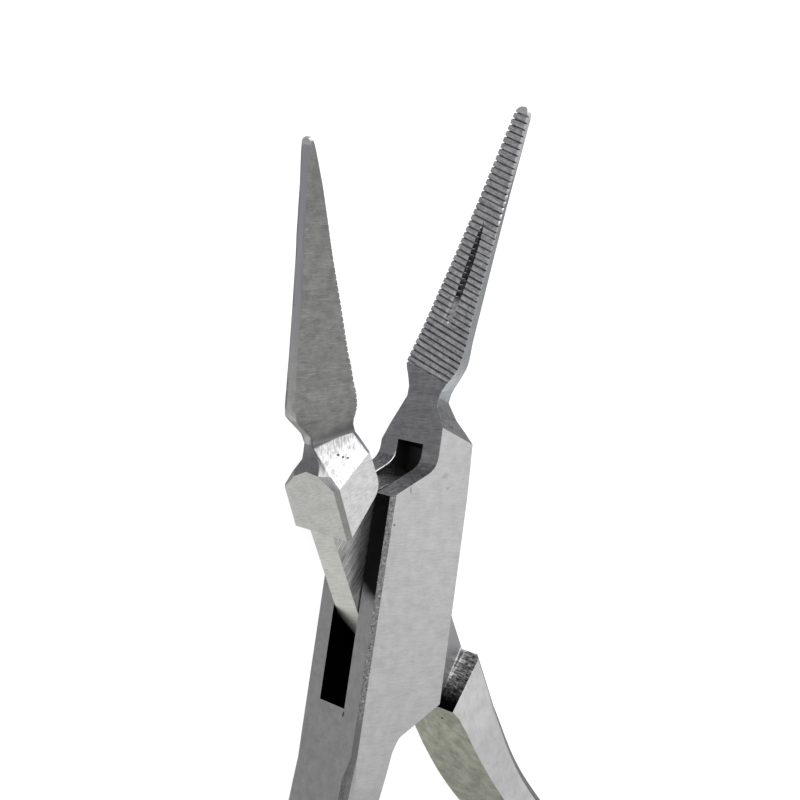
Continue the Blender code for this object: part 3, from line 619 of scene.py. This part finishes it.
def jaw_zone(n, c, side):
    """Finish of a face of a jaw."""
    inward = -side * n.x
    reach = side * c.x
    if c.y > TIP_MM:
        return "tip_end" if side < 0 and n.y > 0.3 else "tip"
    if side < 0 and c.y < SADDLE_TOP_MM and n.z > 0.6:
        return "saddle"
    boat_z = BOAT_MIDDLE_MM[1] + BOAT_RISE * (c.y - BOAT_MIDDLE_MM[0])
    if (side > 0 and reach > BOAT_DEEP_MM and abs(c.z - boat_z) < BOAT_HALF_MM
            and BOAT_ENDS_MM[0] < c.y < BOAT_ENDS_MM[1]
            and (-0.95 < n.x < -0.6 or abs(n.z) > 0.7)):
        return "groove"
    if side > 0 and inward > 0.2 and n.z > 0.35 and c.y > HIGHLIGHT_FOOT_MM:
        return "painted_highlight_edge"
    if inward > 0.2 and c.y > TEETH_FOOT_MM:
        return "teeth_right" if side > 0 else "teeth_left"
    if inward > 0.8:
        return "scoop"
    if side > 0 and n.z > 0.3:
        return "strip_right"
    if inward < -0.85 and abs(n.z) < 0.3:
        return "strip"
    return "flank"


def box_zone(n, c):
    """Finish of a face of the box half below its jaw."""
    wide = BOX_HALF_MM - BOX_DRAFT * c.y
    in_slot = (SLOT_MM[0] - SLOT_SKIN_MM < c.z < SLOT_MM[1] + SLOT_SKIN_MM
               and c.y > SLOT_FOOT_MM)
    if abs(n.z) > FLAT:
        return "pocket" if in_slot else "cheek"
    inside = in_slot and abs(c.x) < wide - SIDE_SKIN_MM
    if inside and not (n.x < -0.9 and c.y > RELIEF_TOP_MM):
        return "pocket"
    if c.y > STEM_FOOT_MM and abs(c.x) < STEM_HALF_MM:
        return "scoop" if n.x < -0.9 else "rim"
    if c.y > RIM_FOOT_MM and c.x < RIM_SIDE_MM:
        return "rim"
    if c.y > BOX_TOP_MM:
        return "shoulder_right"
    on_handle = c.y < HANDLE_TOP_MM
    if abs(n.x) > 0.98 or on_handle and n.z < 0.25 or abs(n.x) > 0.9 and abs(n.z) < 0.25:
        return "side"
    return "handle_edge" if on_handle else "chamfer"


def tongue_zone(n, c):
    """Finish of a face of the tongue half below its jaw, on the closed forceps."""
    if SLOT_MM[0] < c.z < SLOT_MM[1] and TONGUE_ENDS_MM[0] < c.y < TONGUE_ENDS_MM[1]:
        if abs(n.z) > FLAT:
            return "tongue"
        if n.y > 0.8 and c.y > BLADE_END_MM:
            return "blade_end"
        return "blade_side" if c.y < BLADE_SIDE_MM and n.x < -0.9 else "shoulder"
    if c.y < STEP_TOP_MM:
        if n.z > FLAT:
            return "handle"
        if n.y > 0.5:
            return "step"
        if n.x > 0.3 and n.z > 0.1:
            return "handle_edge"
        return "inner" if n.x < -0.5 else "handle"
    if n.z > FLAT:
        return "block"
    if (c.y > FACET_FEET_MM[0] and n.z > 0.4 and n.x > -0.72
            or c.y > FACET_FEET_MM[1] and n.z > 0.5 and n.x > -0.52):
        return "facet"
    if c.y > NECK_FOOT_MM and n.y > 0.1 and n.z > -0.45:
        return "neck"
    if abs(n.z) > 0.45 and n.x < -0.3:
        return "bevel"
    return "shoulder"


print("zones run from the handles to", TIP_MM, "mm above the pin")

# %% [markdown]
# The last pass of a belt breaks every sharp edge a little, but not at the teeth, which stay
# sharp, nor at the pin's hole. One edge was dressed more with a file, and shines as a thin line.
# Both are bevels: a small one in the finish of its neighbours, and a larger one whose new faces
# are then polished. Bump alone would not break the outline.

# %% Edges
EDGE_BREAK = 0.05 * MM
FILED_EDGE = 0.16 * MM
HOLE = 1.8 * MM                 # edges nearer to the pin's middle than this are left alone
LEVEL_SLACK = 0.01 * MM
SHARP_DEG = 20
TEETH_SPARED_MM = 16.8


def bevel(bm, edges, size):
    """Bevels edges in two steps and returns the new faces."""
    made = bmesh.ops.bevel(bm, geom=edges, offset=size, affect="EDGES", segments=2, profile=0.5,
                           material=-1, clamp_overlap=True)
    return made["faces"]


def file_edges(bm, edges, names):
    """Rounds edges with a file, which leaves them polished."""
    for f in bevel(bm, edges, FILED_EDGE):
        f.material_index = names.index("tip")


def break_edges(bm, turn_back):
    """Breaks the sharp edges below the jaws, as a last pass of the belt does."""
    edges = []
    for e in sharp_edges(bm, SHARP_DEG):
        middle = turn_back @ ((e.verts[0].co + e.verts[1].co) / 2)
        if middle.y < TEETH_SPARED_MM * MM and middle.xy.length > HOLE:
            edges.append(e)
    bevel(bm, edges, EDGE_BREAK)


def on_level(e, z_mm):
    """True for an edge that lies flat at a height."""
    return all(abs(v.co.z - z_mm * MM) < LEVEL_SLACK for v in e.verts)


def dress(bm, turn_back, names, choose):
    """Gives every face the finish that choose names for its direction and place."""
    for f in bm.faces:
        n, c = turn_back @ f.normal, turn_back @ f.calc_center_median() / MM
        f.material_index = names.index(choose(n, c))


print("edges are broken by", EDGE_BREAK / MM, "mm")

# %% [markdown]
# The box half gets its finishes face by face. On the real one the edge of the relief under the
# right jaw was filed round, so the edge on the level of the slot's floor gets the larger bevel.

# %% Box half
RELIEF_EDGE_MM = (8.5, 12.8)
RELIEF_SIDE_MM = 0.3

bm = copy_of("box_half")
names = ["cheek", "side", "chamfer", "handle_edge", "flank", "shoulder_right", "strip",
         "strip_right", "tip", "painted_highlight_edge", "groove", "scoop", "rim", "pocket", "teeth_right"]
dress(bm, Matrix.Identity(3), names,
      lambda n, c: jaw_zone(n, c, 1) if c.y > JAW_FOOT_MM else box_zone(n, c))
file_edges(bm, [e for e in sharp_edges(bm, SHARP_DEG) if on_level(e, SLOT_MM[0])
                and min(v.co.y for v in e.verts) > RELIEF_EDGE_MM[0] * MM
                and max(v.co.y for v in e.verts) < RELIEF_EDGE_MM[1] * MM
                and max(v.co.x for v in e.verts) < RELIEF_SIDE_MM * MM], names)
break_edges(bm, Matrix.Identity(3))
box = piece("box_half_ground", bm, names, "box_body", "box_half")

# %% [markdown]
# The tongue half lies opened in its mesh, so each face is turned back before its zone is chosen.
# The mesh itself could be closed first, but then it would have to be opened again at the end.

# %% Tongue half
bm = copy_of("tongue_half")
shut = OPENED.inverted()
names = ["flank", "saddle", "strip", "tip", "tip_end", "scoop", "shoulder", "blade_side",
         "blade_end", "neck", "bevel", "facet", "block", "tongue", "handle", "handle_edge",
         "inner", "step", "teeth_left"]
dress(bm, shut, names,
      lambda n, c: jaw_zone(n, c, -1) if c.y > JAW_FOOT_MM else tongue_zone(n, c))
break_edges(bm, shut)
tongue = piece("tongue_half_ground", bm, names, "tongue_body", "tongue_half")

# %% [markdown]
# The pin is riveted tight and ground flush with the cheeks, so that it can't be seen: it fills
# its hole, in which the solid has 0.02 mm of play, and carries on the brushing of the cheek. It
# could be left out, but then a look through the slot would show an empty hole.

# %% Pin
PIN_RADIUS_MM = 1.6
TIGHT_RADIUS_MM = 1.6195
TIGHT = TIGHT_RADIUS_MM / PIN_RADIUS_MM

bm = copy_of("pivot_pin")
bmesh.ops.scale(bm, vec=(TIGHT, TIGHT, 1.0), verts=bm.verts)
pin = piece("pivot_pin_ground", bm, ["cheek"], "box_body", "pivot_pin")
